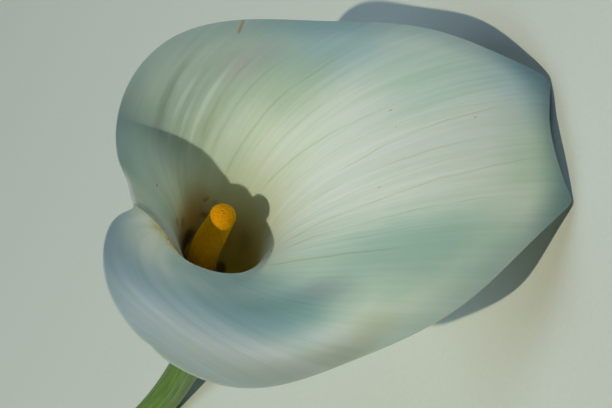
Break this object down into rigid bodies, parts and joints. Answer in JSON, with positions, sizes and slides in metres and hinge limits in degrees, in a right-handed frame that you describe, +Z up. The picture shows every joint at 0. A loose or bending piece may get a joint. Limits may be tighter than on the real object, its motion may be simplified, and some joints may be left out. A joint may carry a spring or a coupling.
{
  "type": "arum lily flower",
  "caption": "Picked arum lily lying on its back: a white spathe rolled into an open funnel round a golden spadix, on a short fleshy green stem.",
  "frame": {"origin": "middle of the whole flower's box in X and Y, on the table that it lies on", "axes": "+X from the stem's cut end towards the bloom and the rolled tip of its leaf, +Z up from the table, +Y towards the side lobe whose margin lies inside the overlap"},
  "size_m": [0.2438, 0.1314, 0.1126],
  "materials": {
    "spathe_white": "creamy white, matte and slightly waxy, with fine lengthwise veins and a green base",
    "stamen_gold": "golden yellow, granular with stamens and powdered with pollen",
    "pistil_green": "pale yellow-green, small glossy knobs",
    "stem_green": "smooth fleshy green with faint lengthwise ribs, paler at the cut"
  },
  "bodies": {
    "root": {"spathe": "spathe_white", "spadix_stamens": "stamen_gold", "spadix_pistils": "pistil_green", "stem": "stem_green"}
  },
  "joints": []
}
